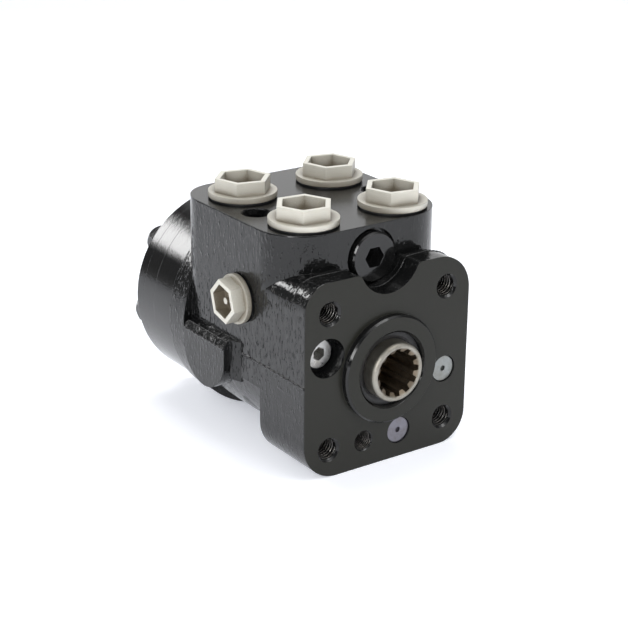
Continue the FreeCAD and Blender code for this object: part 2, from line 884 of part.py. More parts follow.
def gear_ring():
    """Fixed outer gear: round lobes between pockets, with a bolt hole in each lobe."""
    pocket_radius = lobe_circle_radius - lobe_radius + 2 * eccentricity + pocket_gap
    cavity = rod_y(pocket_radius, ring_front_y - 1, ring_rear_y + 1)
    lobes = [rod_y(lobe_radius, ring_front_y - 1, ring_rear_y + 1, x, z) for x, z in lobe_places()]
    body = rod_y(drum_radius, ring_front_y, ring_rear_y).cut(cavity.cut(lobes))
    holes = [rod_y(bolt_hole_radius, ring_front_y - 1, ring_rear_y + 1, *polar(bolt_circle_radius, angle))
             for angle in bolt_angles]
    groove = o_ring_groove(ring_front_y)
    return body.cut(holes + [groove])


def rotor_curve():
    """Rotor outline: the curve that stays one lobe radius inside the path of a lobe's middle."""
    count = rotor_teeth * rotor_curve_points_per_tooth
    offset = lobe_radius + tooth_gap
    points = []
    for k in range(count):
        t = 2 * math.pi * k / count
        x = eccentricity * math.cos(lobe_count * t) + lobe_circle_radius * math.cos(t)
        z = eccentricity * math.sin(lobe_count * t) + lobe_circle_radius * math.sin(t)
        dx = -lobe_count * eccentricity * math.sin(lobe_count * t) - lobe_circle_radius * math.sin(t)
        dz = lobe_count * eccentricity * math.cos(lobe_count * t) + lobe_circle_radius * math.cos(t)
        length = math.hypot(dx, dz)
        points.append(vec(x - offset * dz / length, 0, z + offset * dx / length))
    curve = Part.BSplineCurve()
    curve.interpolate(Points=points, PeriodicFlag=True)
    return curve


def rotor():
    """Orbiting inner gear, in mesh with the ring at rest, with splines for the cardan shaft."""
    width = gear_width - 2 * side_gap
    body = Part.Face(Part.Wire(rotor_curve().toShape())).extrude(vec(0, width, 0))
    bore = spline_outline(
        spline_teeth, rotor_spline_minor, rotor_spline_major, spline_root_share, spline_tip_share)
    body = body.cut(prism_y(bore, -1, width + 1))
    body.rotate(vec(0, 0, 0), vec(0, 1, 0), -first_bolt_angle)
    x, z = polar(-eccentricity, first_bolt_angle)
    body.translate(vec(x, ring_front_y + side_gap, z))
    return body


def spacer():
    """Disc between the cardan head and the end cover, inside the rotor."""
    x, z = polar(-eccentricity, first_bolt_angle)
    return rod_y(spacer_radius, head_end_y + spacer_gap, ring_rear_y - side_gap, x, z)


def cardan_shaft():
    """Drive link: fork on the cross pin, slim waist and splined head in the rotor."""
    tip = rotor_spline_major - head_flank_gap
    root = rotor_spline_minor - head_flank_gap
    fork_end = pin_y + fork_reach
    shank = turned([
        (0, pin_y - fork_reach),
        (fork_radius - cardan_fork_chamfer, pin_y - fork_reach),
        (fork_radius, pin_y - fork_reach + cardan_fork_chamfer),
        (fork_radius, fork_end),
        (cardan_waist_radius, fork_end + cardan_taper_length),
        (cardan_waist_radius, head_start_y - head_length - cardan_taper_length),
        (cardan_neck_radius, head_start_y - head_length),
        (cardan_neck_radius, head_end_y),
        (0, head_end_y),
    ])
    outline = spline_outline(spline_teeth, root, tip, head_root_share, head_tip_share)
    head = prism_y(outline, head_start_y, head_end_y)
    half_slot = pin_radius + fork_gap
    reach = fork_radius + 1
    slot = box(-reach, reach, pin_y - fork_reach - 1, pin_y, -half_slot, half_slot)
    eye = Part.makeCylinder(half_slot, 2 * reach, vec(-reach, pin_y, 0), vec(1, 0, 0))
    shaft = shank.fuse(head).cut([slot, eye])
    shaft.rotate(vec(0, pin_y, 0), vec(1, 0, 0), -cardan_tilt)
    return shaft


# Rear stack

def o_ring_groove(face_y):
    """Groove that opens towards the front at the given face."""
    half = o_ring_width / 2 + seal_gap
    return ring_y(
        o_ring_middle_radius + half, o_ring_middle_radius - half, face_y - 1, face_y + o_ring_height)


def o_ring(face_y):
    """Seal ring, flattened in its groove."""
    half = o_ring_width / 2
    outer = o_ring_middle_radius + half
    inner = o_ring_middle_radius - half
    end = face_y + o_ring_height - seal_gap
    corner = o_ring_corner
    return turned([
        (inner, face_y + corner),
        (inner + corner, face_y),
        (outer - corner, face_y),
        (outer, face_y + corner),
        (outer, end - corner),
        (outer - corner, end),
        (inner + corner, end),
        (inner, end - corner),
    ])


def stack_bolt_holes(y0, y1):
    return [
        rod_y(bolt_hole_radius, y0 - 1, y1 + 1, *polar(bolt_circle_radius, angle))
        for angle in bolt_angles]


def distributor_plate():
    """Plate that carries the timing passages from the housing to the gear set pockets."""
    plate = rod_y(drum_radius, housing_rear_y, ring_front_y)
    cuts = stack_bolt_holes(housing_rear_y, ring_front_y)
    cuts.append(rod_y(plate_bore_radius, housing_rear_y - 1, ring_front_y + 1))
    for angle in pocket_angles:
        x, z = polar(passage_circle_radius, angle)
        cuts.append(rod_y(passage_radius, housing_rear_y - 1, ring_front_y + 1, x, z))
    cuts.append(o_ring_groove(housing_rear_y))
    return plate.cut(cuts)


def end_cover():
    """Rear cover with a rounded outer edge."""
    cover = rod_y(drum_radius, ring_rear_y, cover_rear_y)
    rear_middle = vec(0, cover_rear_y, 0)
    edges = [edge for edge in cover.Edges if edge.CenterOfMass.distanceToPoint(rear_middle) < 0.01]
    cover = cover.makeFillet(cover_round, edges)
    return cover.cut(stack_bolt_holes(ring_rear_y, cover_rear_y) + [o_ring_groove(ring_rear_y)])


def bolt(place, nose):
    """Hexagon bolt through the stack into the housing; the pin bolt has a slim nose."""
    angle = bolt_angles[place]
    x, z = polar(bolt_circle_radius, angle)
    seat = cover_rear_y + washer_thickness
    turn = angle + bolt_turn_step * place
    head = prism_y(hexagon(bolt_head_flats, turn, x, z), seat, seat + bolt_head_height)
    dome_end = seat + bolt_head_height
    flats_reach = bolt_head_flats / 2
    corner_reach = flats_reach / math.cos(math.radians(30))
    dome = cone_y(corner_reach + bolt_head_dome, flats_reach - bolt_head_top_inset, seat - 1, dome_end, x, z)
    head = head.common(dome)
    tip = housing_rear_y - bolt_bite
    shank = rod_y(bolt_radius, tip, seat, x, z)
    pieces = [head, shank]
    if nose:
        pieces.append(rod_y(pin_bolt_nose_radius, tip - pin_bolt_nose_length, tip, x, z))
    return joined(pieces)


def cover_bolts():
    return Part.makeCompound([bolt(place, False) for place in range(1, lobe_count)])


def pin_bolt():
    return bolt(0, True)


def bolt_washers():
    rings = []
    for angle in bolt_angles:
        x, z = polar(bolt_circle_radius, angle)
        end = cover_rear_y + washer_thickness
        rings.append(ring_y(washer_radius, bolt_radius + free_gap, cover_rear_y, end, x, z))
    return Part.makeCompound(rings)


# Valves in the housing

def relief_screw():
    """Adjusting screw with a hexagon socket."""
    face = screw_face_y
    body = rod_y(screw_radius, face, face + screw_length, relief_x, relief_z)
    edges = [edge for edge in body.Edges if abs(edge.CenterOfMass.y - face) < 0.01]
    body = body.makeChamfer(plug_chamfer, edges)
    socket = hexagon(screw_socket_flats, screw_socket_turn, relief_x, relief_z)
    return body.cut(prism_y(socket, face - 1, face + screw_socket_depth))


def relief_seat():
    outer = relief_chamber_radius - seal_gap
    end = relief_seat_y + relief_seat_length
    return ring_y(outer, relief_seat_hole_radius, relief_seat_y, end, relief_x, relief_z)


def relief_cone_back_y():
    """Rear of the cone's guide, set so that the cone stands just clear of its seat."""
    drop = relief_cone_radius - relief_seat_hole_radius + free_gap
    return relief_seat_y - drop - relief_cone_guide


def relief_cone():
    back = relief_cone_back_y()
    shoulder = back + relief_cone_guide
    tip = shoulder + relief_cone_radius - relief_cone_tip_radius
    guide = rod_y(relief_cone_radius, back, shoulder, relief_x, relief_z)
    point = cone_y(relief_cone_radius, relief_cone_tip_radius, shoulder, tip, relief_x, relief_z)
    return joined([guide, point])


def relief_spring():
    start = screw_face_y + screw_length + spring_gap
    return coil_spring(relief_spring_radius, start, relief_cone_back_y() - spring_gap, relief_x, relief_z)


def seated_ball_y(seat_y, seat_hole_radius, ball_radius):
    """Middle of a ball that rests on the rim of a hole behind it, just clear of it."""
    return seat_y - math.sqrt(ball_radius ** 2 - seat_hole_radius ** 2) - seal_gap


def spring_end_on_ball(ball_y, ball_radius, coil_radius):
    """Station where a coil's inner edge just clears the front of a ball."""
    edge = coil_radius - wire_radius
    return ball_y - math.sqrt(ball_radius ** 2 - edge ** 2) - free_gap


def ball(radius, x, y, z):
    return Part.makeSphere(radius, vec(x, y, z))


def shock_plug(place):
    """Plain round plug with a small tool dimple."""
    x, z = place
    start = shock_plug_setback
    plug = rod_y(shock_plug_radius, start, start + shock_plug_length, x, z)
    edges = [edge for edge in plug.Edges if abs(edge.CenterOfMass.y - start) < 0.01]
    plug = plug.makeChamfer(shock_plug_chamfer, edges)
    return plug.cut(rod_y(shock_socket_radius, start - 1, start + shock_socket_depth, x, z))


def shock_ball(place):
    y = seated_ball_y(shock_seat_y, shock_seat_hole_radius, shock_ball_radius)
    return ball(shock_ball_radius, place[0], y, place[1])


def shock_spring(place):
    start = shock_plug_setback + shock_plug_length + spring_gap
    ball_y = seated_ball_y(shock_seat_y, shock_seat_hole_radius, shock_ball_radius)
    end = spring_end_on_ball(ball_y, shock_ball_radius, shock_spring_radius)
    return coil_spring(shock_spring_radius, start, end, place[0], place[1])


def check_plug():
    """Socket plug with a wide flat head that stands a little proud of the wall."""
    face = check_plug_face_y
    head = rod_y(check_plug_head_radius, face, check_seal_y, 0, check_z)
    edges = [edge for edge in head.Edges if abs(edge.CenterOfMass.y - face) < 0.01]
    head = head.makeChamfer(plug_chamfer, edges)
    thread = rod_y(check_plug_thread_radius, check_seal_y, check_plug_end_y, 0, check_z)
    body = joined([head, thread])
    socket = hexagon(check_plug_socket_flats, 0, 0, check_z)
    return body.cut(prism_y(socket, face - 1, face + check_plug_socket_depth))


def check_plug_seal():
    end = check_seal_y + check_seal_thickness
    inner = check_plug_thread_radius + free_gap
    return ring_y(check_plug_head_radius, inner, check_seal_y, end, 0, check_z)


def check_ball():
    y = seated_ball_y(check_seat_y, check_seat_hole_radius, check_ball_radius)
    return ball(check_ball_radius, 0, y, check_z)


def check_spring():
    ball_y = seated_ball_y(check_seat_y, check_seat_hole_radius, check_ball_radius)
    end = spring_end_on_ball(ball_y, check_ball_radius, check_spring_radius)
    return coil_spring(check_spring_radius, check_plug_end_y + spring_gap, end, 0, check_z)


def suction_ball_y():
    """The ball rests on its seat hole, which lies in front of it."""
    seat_y = housing_rear_y - suction_bore_depth
    drop = math.sqrt(suction_ball_radius ** 2 - suction_seat_hole_radius ** 2)
    return seat_y + drop + seal_gap


def suction_ball(angle):
    x, z = polar(suction_circle_radius, angle)
    return ball(suction_ball_radius, x, suction_ball_y(), z)


def suction_pins():
    """Rolled pins that keep the suction balls in their bores."""
    pins = []
    start = suction_ball_y() + suction_ball_radius + suction_lift + free_gap
    for angle in suction_angles.values():
        x, z = polar(suction_circle_radius, angle)
        pins.append(rod_y(suction_pin_radius, start, housing_rear_y, x, z))
    return Part.makeCompound(pins)


# Caps

def cap(flange_radius, flange_thickness, flats, height, wall, shank_radius, shank_length, seal, turn):
    """Plastic screw cap along +Z: hollow hexagon, round flange and a hollow shank below it."""
    flange_top_z = seal + flange_thickness
    top = flange_top_z + height
    flange = rod_z(flange_radius, seal, flange_top_z)
    shank = rod_z(shank_radius, seal - shank_length, seal)
    grip = prism_up(hexagon(flats, turn), flange_top_z, top)
    pocket = prism_up(hexagon(flats - 2 * wall, turn), seal - shank_length + cap_floor, top + 1)
    inner = rod_z(shank_radius - wall, seal - shank_length + cap_floor, top + 1)
    socket = inner.fuse(rod_z(flats, flange_top_z, top + 1))
    return joined([flange, shank, grip]).cut(pocket.common(socket))


def prism_up(outline, z0, z1):
    points = [vec(x, y, z0) for x, y in outline]
    face = Part.Face(Part.makePolygon(points + points[:1]))
    return face.extrude(vec(0, 0, z1 - z0))


def port_cap(x, y, turn):
    piece = cap(
        cap_flange_radius, cap_flange_thickness, cap_hex_flats, cap_hex_height, cap_wall,
        port_thread_radius - free_gap, cap_shank_length, cap_seal_thickness, turn)
    piece.translate(vec(x, y, port_face_z))
    return piece


def port_places():
    return {
        "front_left": (-port_x, port_front_y),
        "front_right": (port_x, port_front_y),
        "rear_left": (-port_x, port_rear_y),
        "rear_right": (port_x, port_rear_y),
    }


def port_cap_seals():
    """Flat seal rings under the flanges of the four port caps."""
    rings = []
    outer = cap_flange_radius - cap_seal_inset
    for x, y in port_places().values():
        start = port_face_z
        disc = rod_z(outer, start, start + cap_seal_thickness, x, y)
        rings.append(disc.cut(rod_z(port_thread_radius + free_gap, start, start + cap_seal_thickness, x, y)))
    return Part.makeCompound(rings)


def to_left_side(piece):
    """Turns a piece built along +Z to point out of the left side, on the side port's axis."""
    piece.rotate(vec(0, 0, 0), vec(0, 1, 0), -90)
    piece.translate(vec(-half_width, side_port_y, side_port_z))
    return piece


def side_port_cap():
    piece = cap(
        side_cap_flange_radius, side_cap_flange_thickness, side_cap_hex_flats, side_cap_hex_height,
        side_cap_wall, side_port_thread_radius - free_gap, side_cap_shank_length,
        side_cap_seal_thickness, side_cap_turn)
    floor = side_cap_seal_thickness - side_cap_shank_length + cap_floor
    top = side_cap_seal_thickness + side_cap_flange_thickness + side_cap_post_height
    post = rod_z(side_cap_post_radius, floor - cap_floor / 2, top)
    return to_left_side(joined([piece, post]))


def side_port_cap_seal():
    outer = side_cap_flange_radius - cap_seal_inset
    disc = rod_z(outer, 0, side_cap_seal_thickness)
    return to_left_side(disc.cut(rod_z(side_port_thread_radius + free_gap, 0, side_cap_seal_thickness)))


def build():
    os.makedirs("parts", exist_ok=True)
    write("housing", housing())
    write("dust_seal", dust_seal())
    write("shaft_seal", shaft_seal())
    write("outer_thrust_race", thrust_race(main_bore_start_y))
    write("thrust_cage", thrust_cage())
    write("thrust_needles", thrust_needles())
    write("inner_thrust_race", thrust_race(inner_race_start_y))
    write("sleeve", sleeve())
    write("spool", spool())
    write("spring_ring", spring_ring())
    write("centring_springs", centring_springs())
    write("cross_pin", cross_pin())
    write("cardan_shaft", cardan_shaft())
    write("distributor_plate", distributor_plate())
    write("gear_ring", gear_ring())
    write("rotor", rotor())
    write("spacer", spacer())
    write("end_cover", end_cover())
    write("cover_bolts", cover_bolts())
    write("pin_bolt", pin_bolt())
    write("bolt_washers", bolt_washers())
    write("plate_o_ring", o_ring(housing_rear_y))
    write("ring_o_ring", o_ring(ring_front_y))
    write("cover_o_ring", o_ring(ring_rear_y))
    write("relief_screw", relief_screw())
    write("relief_spring", relief_spring())
    write("relief_cone", relief_cone())
    write("relief_seat", relief_seat())
    for side, place in shock_valves.items():
        write("shock_plug_" + side, shock_plug(place))
        write("shock_spring_" + side, shock_spring(place))
        write("shock_ball_" + side, shock_ball(place))
    write("check_plug", check_plug())
    write("check_plug_seal", check_plug_seal())
    write("check_spring", check_spring())
    write("check_ball", check_ball())
    for side, angle in suction_angles.items():
        write("suction_ball_" + side, suction_ball(angle))
    write("suction_pins", suction_pins())
    for corner, (x, y) in port_places().items():
        write("port_cap_" + corner, port_cap(x, y, cap_turns[corner]))
    write("port_cap_seals", port_cap_seals())
    write("side_port_cap", side_port_cap())
    write("side_port_cap_seal", side_port_cap_seal())


build()
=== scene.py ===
import json
import math

import bpy
from mathutils import Matrix, Vector


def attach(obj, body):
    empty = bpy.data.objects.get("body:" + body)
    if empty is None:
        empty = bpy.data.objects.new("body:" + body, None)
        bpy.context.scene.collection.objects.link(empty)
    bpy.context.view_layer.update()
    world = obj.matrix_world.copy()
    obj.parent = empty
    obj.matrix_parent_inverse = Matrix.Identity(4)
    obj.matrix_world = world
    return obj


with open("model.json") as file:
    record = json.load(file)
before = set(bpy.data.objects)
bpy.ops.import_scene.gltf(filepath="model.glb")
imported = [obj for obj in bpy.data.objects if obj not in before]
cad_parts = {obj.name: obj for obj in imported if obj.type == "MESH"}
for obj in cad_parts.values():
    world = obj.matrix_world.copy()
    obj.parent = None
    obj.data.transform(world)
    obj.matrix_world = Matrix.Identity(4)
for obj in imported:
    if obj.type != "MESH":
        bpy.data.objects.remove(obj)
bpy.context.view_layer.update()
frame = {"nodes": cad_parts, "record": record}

# Looks of the orbital steering unit: camera, floor, light, materials and the small detail that the
# CAD model leaves out. Lengths are in millimetres until mm() turns them into metres; lengths inside
# materials and of the lamps are in metres.

# Camera, fitted to the photograph
camera_azimuth = -35.158
camera_elevation = 20.98
camera_roll = 0.519
camera_distance = 663.11
focal_pixels = 1639.414
image_pixels = 628
centre_u = 388.129
centre_v = 367.463
sensor_width = 36.0

# Where the unit touches the floor: the flange's lower front edge and the rear flange
front_contact = (0.0, -41.3)
rear_contact = (85.0, -45.4)

# Studio: radiance of the floor and of the dim walls, what the floor gains in view, its colours, its
# half size in metres, and the heights of the directions between which the floor gives way to the walls
studio_floor = 0.95
studio_wall = 0.18
floor_lift = 0.36
floor_colour = (0.92, 0.93, 0.955, 1)
floor_lift_colour = (0.88, 0.91, 1, 1)
floor_reach = 4.0
floor_end_height = -0.28
wall_start_height = 0.06
# Softbox behind the unit: direction of its middle, half sizes, soft edge and reach in degrees, and
# radiance; the reach keeps it on one side, because its half sizes alone allow the opposite one too
softbox_direction = (-0.320, 0.843, 0.432)
softbox_half_width = 15
softbox_half_height = 7
softbox_edge = 2.0
softbox_reach = 60
softbox_radiance = 11.0
# Bright patches: direction, outer and inner half angle in degrees, and radiance
studio_patches = [
    ((0.60, 0.75, 0.30), 42, 18, 1.0),
    ((0.28, -0.58, 0.77), 38, 16, 1.2),
]
# Dim side towards the camera: direction, half angles in degrees and share of the light taken away
dim_side = (-0.625, -0.694, -0.358)
dim_outer = 58
dim_inner = 22
dim_share = 0.96
# Lamps: name, place in metres, width and height in metres, and watts
lamps = [
    ("softbox_top", (0.1, 0.4, 0.95), 0.6, 0.5, 3.6),
    ("softbox_front", (0.35, -0.75, 0.95), 0.5, 0.4, 2.4),
    ("softbox_left", (-0.76, -0.50, 0.40), 0.45, 0.45, 6.1),
]
lamp_target = (0, 0.05, 0.0)

# Sizes that the CAD model has too
half_width = 41.1
port_face_z = 57.3
lug_front_y = 51.8
lug_height = 4.9
lug_face_top_z = 0.8
lip_depth = 9.0
flange_top = 42.3
flange_radius_left = 11.0
flange_radius_right = 16.0
scallop_radius = 15.0
scallop_z = 47.0
scallop_lead_radius = 3.0
column_hole_offset = 29.168
column_hole_depth = 18.0
top_hole = (30.0, 51.0)
top_hole_depth = 15.0
top_hole_mouth_radius = 5.9
hub_face_y = -7.0
spline_major_radius = 10.3
front_hole = (-11.7, -29.7)
front_hole_depth = 14.0
m10_core_radius = 4.25
m10_pitch = 1.5
front_hole_core_radius = 4.1
front_hole_pitch = 1.0

# Mould's flash lines: distance between stations, and lengths
flash_step = 0.5
side_flash_length = 45.0
lug_flash_length = 30.0


def mm(*values):
    """Millimetres to metres, for one value or a point."""
    metres = [value / 1000 for value in values]
    return metres[0] if len(metres) == 1 else Vector(metres)


scene = bpy.context.scene


# Camera, floor and light

def camera_axes():
    """Right, up and back directions of the fitted camera."""
    azimuth = math.radians(camera_azimuth)
    elevation = math.radians(camera_elevation)
    roll = math.radians(camera_roll)
    back = Vector((
        math.sin(azimuth) * math.cos(elevation),
        -math.cos(azimuth) * math.cos(elevation),
        math.sin(elevation)))
    right = Vector((math.cos(azimuth), math.sin(azimuth), 0))
    up = back.cross(right)
    rolled_right = right * math.cos(roll) + up * math.sin(roll)
    rolled_up = up * math.cos(roll) - right * math.sin(roll)
    return rolled_right, rolled_up, back


def make_camera():
    """Camera fitted to the photograph, with its principal point off the picture's middle."""
    right, up, back = camera_axes()
    middle = image_pixels / 2
    shift_right = (centre_u - middle) * camera_distance / focal_pixels
    shift_up = -(centre_v - middle) * camera_distance / focal_pixels
    data = bpy.data.cameras.new("camera")
    data.sensor_width = sensor_width
    data.lens = focal_pixels / image_pixels * sensor_width
    data.clip_start = 0.01
    data.clip_end = 20
    camera = bpy.data.objects.new("camera", data)
    scene.collection.objects.link(camera)
    place = (back * camera_distance - right * shift_right - up * shift_up) / 1000
    turn = Matrix((right, up, back)).transposed().to_4x4()
    camera.matrix_world = Matrix.Translation(place) @ turn
    scene.camera = camera


def floor_tilt():
    """Angle at which the floor falls towards the rear, and its height under the origin."""
    rise = (rear_contact[1] - front_contact[1]) / (rear_contact[0] - front_contact[0])
    return math.atan(rise), mm(front_contact[1] - rise * front_contact[0])


def stage_object(mesh, name):
    """Object that belongs to the stage and not to the unit."""
    thing = bpy.data.objects.new(name, mesh)
    scene.collection.objects.link(thing)
    return thing


def any_ray(nodes, links, *kinds):
    """1 for the rays of any of these kinds, as Light Path names them."""
    path = nodes.new("ShaderNodeLightPath")
    result = path.outputs[kinds[0]]
    for kind in kinds[1:]:
        result = maths(nodes, links, "MAXIMUM", result, path.outputs[kind])
    return result


def make_floor():
    """White floor in the plane that the unit stands on; the unit's shadow stays on it."""
    tilt, height = floor_tilt()
    mesh = bpy.data.meshes.new("floor")
    corners = [(x * floor_reach, y * floor_reach, 0) for x, y in ((-1, -1), (1, -1), (1, 1), (-1, 1))]
    mesh.from_pydata(corners, [], [(0, 1, 2, 3)])
    floor = stage_object(mesh, "floor")
    floor.rotation_euler = (tilt, 0, 0)
    floor.location = (0, 0, height)
    material, nodes, links, shader = new_material("floor_white")
    shader.inputs["Base Color"].default_value = floor_colour
    shader.inputs["Roughness"].default_value = 0.9
    shader.inputs["Specular IOR Level"].default_value = 0.0
    shader.inputs["Emission Color"].default_value = floor_lift_colour
    looking = any_ray(nodes, links, "Is Camera Ray", "Is Glossy Ray", "Is Transmission Ray")
    lift = maths(nodes, links, "MULTIPLY", looking, floor_lift)
    links.new(lift, shader.inputs["Emission Strength"])
    mesh.materials.append(material)


def lobe(nodes, links, direction, axis, outer, inner, strength):
    """Round patch of light in the studio; outer and inner are its half angles in degrees."""
    facing = dot_product(nodes, links, direction, Vector(axis).normalized())
    patch = remap(nodes, links, facing, math.cos(math.radians(outer)), math.cos(math.radians(inner)),
                  0.0, strength)
    patch.node.interpolation_type = "SMOOTHSTEP"
    return patch


def softbox(nodes, links, direction):
    """Rectangle of light in the studio."""
    middle = Vector(softbox_direction).normalized()
    across = middle.cross(Vector((0, 0, 1))).normalized()
    above = across.cross(middle)
    inside = lobe(nodes, links, direction, middle, softbox_reach, softbox_reach - 5, softbox_radiance)
    for axis, half in ((across, softbox_half_width), (above, softbox_half_height)):
        distance = maths(nodes, links, "ABSOLUTE", dot_product(nodes, links, direction, axis))
        edge = remap(nodes, links, distance, math.sin(math.radians(half - softbox_edge)),
                     math.sin(math.radians(half)), 1.0, 0.0)
        inside = maths(nodes, links, "MULTIPLY", inside, edge)
    return inside


def make_world():
    """Studio with a white floor, dim walls, a softbox behind and a dim side towards the camera."""
    world = bpy.data.worlds.new("studio")
    world.use_nodes = True
    nodes = world.node_tree.nodes
    links = world.node_tree.links
    nodes.clear()
    direction = nodes.new("ShaderNodeTexCoord").outputs["Generated"]
    height = parts_of(nodes, links, direction)[2]
    total = remap(nodes, links, height, floor_end_height, wall_start_height, studio_floor, studio_wall)
    for axis, outer, inner, strength in studio_patches:
        patch = lobe(nodes, links, direction, axis, outer, inner, strength)
        total = maths(nodes, links, "ADD", total, patch)
    shade = lobe(nodes, links, direction, dim_side, dim_outer, dim_inner, dim_share)
    total = maths(nodes, links, "MULTIPLY", total, maths(nodes, links, "SUBTRACT", 1.0, shade))
    total = maths(nodes, links, "ADD", total, softbox(nodes, links, direction))
    looking = any_ray(nodes, links, "Is Camera Ray", "Is Transmission Ray")
    seen = nodes.new("ShaderNodeBackground")
    seen.inputs["Color"].default_value = (1, 1, 1, 1)
    seen.inputs["Strength"].default_value = 1.0
    lit = nodes.new("ShaderNodeBackground")
    lit.inputs["Color"].default_value = (1, 1, 1, 1)
    links.new(total, lit.inputs["Strength"])
    mix = nodes.new("ShaderNodeMixShader")
    out = nodes.new("ShaderNodeOutputWorld")
    links.new(looking, mix.inputs[0])
    links.new(lit.outputs[0], mix.inputs[1])
    links.new(seen.outputs[0], mix.inputs[2])
    links.new(mix.outputs[0], out.inputs["Surface"])
    scene.world = world


def make_lamps():
    """Area lamps that face the unit."""
    for name, place, width, height, watts in lamps:
        data = bpy.data.lights.new(name, "AREA")
        data.shape = "RECTANGLE"
        data.size = width
        data.size_y = height
        data.energy = watts
        lamp = bpy.data.objects.new(name, data)
        scene.collection.objects.link(lamp)
        lamp.location = place
        away = Vector(lamp_target) - Vector(place)
        lamp.rotation_euler = away.to_track_quat("-Z", "Y").to_euler()


# Node helpers

def new_material(name):
    """New material with its nodes, its links and its principled shader."""
    material = bpy.data.materials.new(name)
    material.use_nodes = True
    nodes = material.node_tree.nodes
    links = material.node_tree.links
    shader = next(node for node in nodes if node.type == "BSDF_PRINCIPLED")
    return material, nodes, links, shader


def object_point(nodes):
    """Point of the surface in the object's own frame, in metres."""
    return nodes.new("ShaderNodeTexCoord").outputs["Object"]


def noise(nodes, links, point, scale, detail=4.0, roughness=0.6, stretch=None):
    """Noise value at a point; stretch scales the three directions against each other."""
    if stretch:
        mapping = nodes.new("ShaderNodeMapping")
        mapping.inputs["Scale"].default_value = stretch
        links.new(point, mapping.inputs["Vector"])
        point = mapping.outputs["Vector"]
    texture = nodes.new("ShaderNodeTexNoise")
    texture.inputs["Scale"].default_value = scale
    texture.inputs["Detail"].default_value = detail
    texture.inputs["Roughness"].default_value = roughness
    links.new(point, texture.inputs["Vector"])
    return texture.outputs["Fac"]


def remap(nodes, links, value, low, high, out_low, out_high):
    """Straight-line map of a value, held at both ends."""
    node = nodes.new("ShaderNodeMapRange")
    node.clamp = True
    node.inputs["From Min"].default_value = low
    node.inputs["From Max"].default_value = high
    node.inputs["To Min"].default_value = out_low
    node.inputs["To Max"].default_value = out_high
    links.new(value, node.inputs["Value"])
    return node.outputs["Result"]


def maths(nodes, links, operation, first, second=0):
    """Result of a maths node; each side is a socket or a number."""
    node = nodes.new("ShaderNodeMath")
    node.operation = operation
    for socket, value in zip(node.inputs, (first, second)):
        if isinstance(value, (int, float)):
            socket.default_value = value
        else:
            links.new(value, socket)
    return node.outputs[0]


def parts_of(nodes, links, point):
    """The x, y and z of a point or direction."""
    node = nodes.new("ShaderNodeSeparateXYZ")
    links.new(point, node.inputs[0])
    return node.outputs


def mix_colour(nodes, links, amount, first, second):
    """Mix of two colours, each a socket or a tuple; amount 0 gives the first and 1 the second."""
    node = nodes.new("ShaderNodeMix")
    node.data_type = "RGBA"
    links.new(amount, node.inputs["Factor"])
    for socket, value in ((node.inputs["A"], first), (node.inputs["B"], second)):
        if isinstance(value, tuple):
            socket.default_value = value
        else:
            links.new(value, socket)
    return node.outputs["Result"]


def bump(nodes, links, height, distance, strength, under=None):
    """Bump from a height; under is the normal that it starts from."""
    node = nodes.new("ShaderNodeBump")
    node.inputs["Distance"].default_value = distance
    node.inputs["Strength"].default_value = strength
    links.new(height, node.inputs["Height"])
    if under:
        links.new(under, node.inputs["Normal"])
    return node.outputs["Normal"]


def dot_product(nodes, links, first, second):
    """Dot product of a direction's socket with a vector or another socket."""
    node = nodes.new("ShaderNodeVectorMath")
    node.operation = "DOT_PRODUCT"
    links.new(first, node.inputs[0])
    if isinstance(second, Vector):
        node.inputs[1].default_value = second
    else:
        links.new(second, node.inputs[1])
    return node.outputs["Value"]


def soft_edges(nodes, links, radius):
    """Normal that rounds sharp edges, as paint and handling do; radius is a number or a socket."""
    node = nodes.new("ShaderNodeBevel")
    node.samples = 6
    if isinstance(radius, (int, float)):
        node.inputs["Radius"].default_value = radius
    else:
        links.new(radius, node.inputs["Radius"])
    return node.outputs["Normal"]


def edge_mask(nodes, links, rounded):
    """1 along the edges that soft_edges rounds, and 0 on open faces."""
    flat = nodes.new("ShaderNodeNewGeometry").outputs["Normal"]
    return remap(nodes, links, dot_product(nodes, links, rounded, flat), 0.9, 0.995, 1.0, 0.0)


def occlusion_shade(nodes, links, distance, low, high):
    """0 deep in a hollow and 1 on open faces, from ambient occlusion, for painting shade into hollows.
    """
    node = nodes.new("ShaderNodeAmbientOcclusion")
    node.samples = 6
    node.inputs["Distance"].default_value = distance
    return remap(nodes, links, node.outputs["AO"], low, high, 0.0, 1.0)


def near_axis(nodes, links, across, along, radius):
    """1 within a radius of an axis; across and along are the two distances from it, in metres."""
    square = maths(nodes, links, "MULTIPLY", across, across)
    other = maths(nodes, links, "MULTIPLY", along, along)
    distance = maths(nodes, links, "SQRT", maths(nodes, links, "ADD", square, other))
    return remap(nodes, links, distance, radius, radius + mm(0.15), 1.0, 0.0)


# Materials

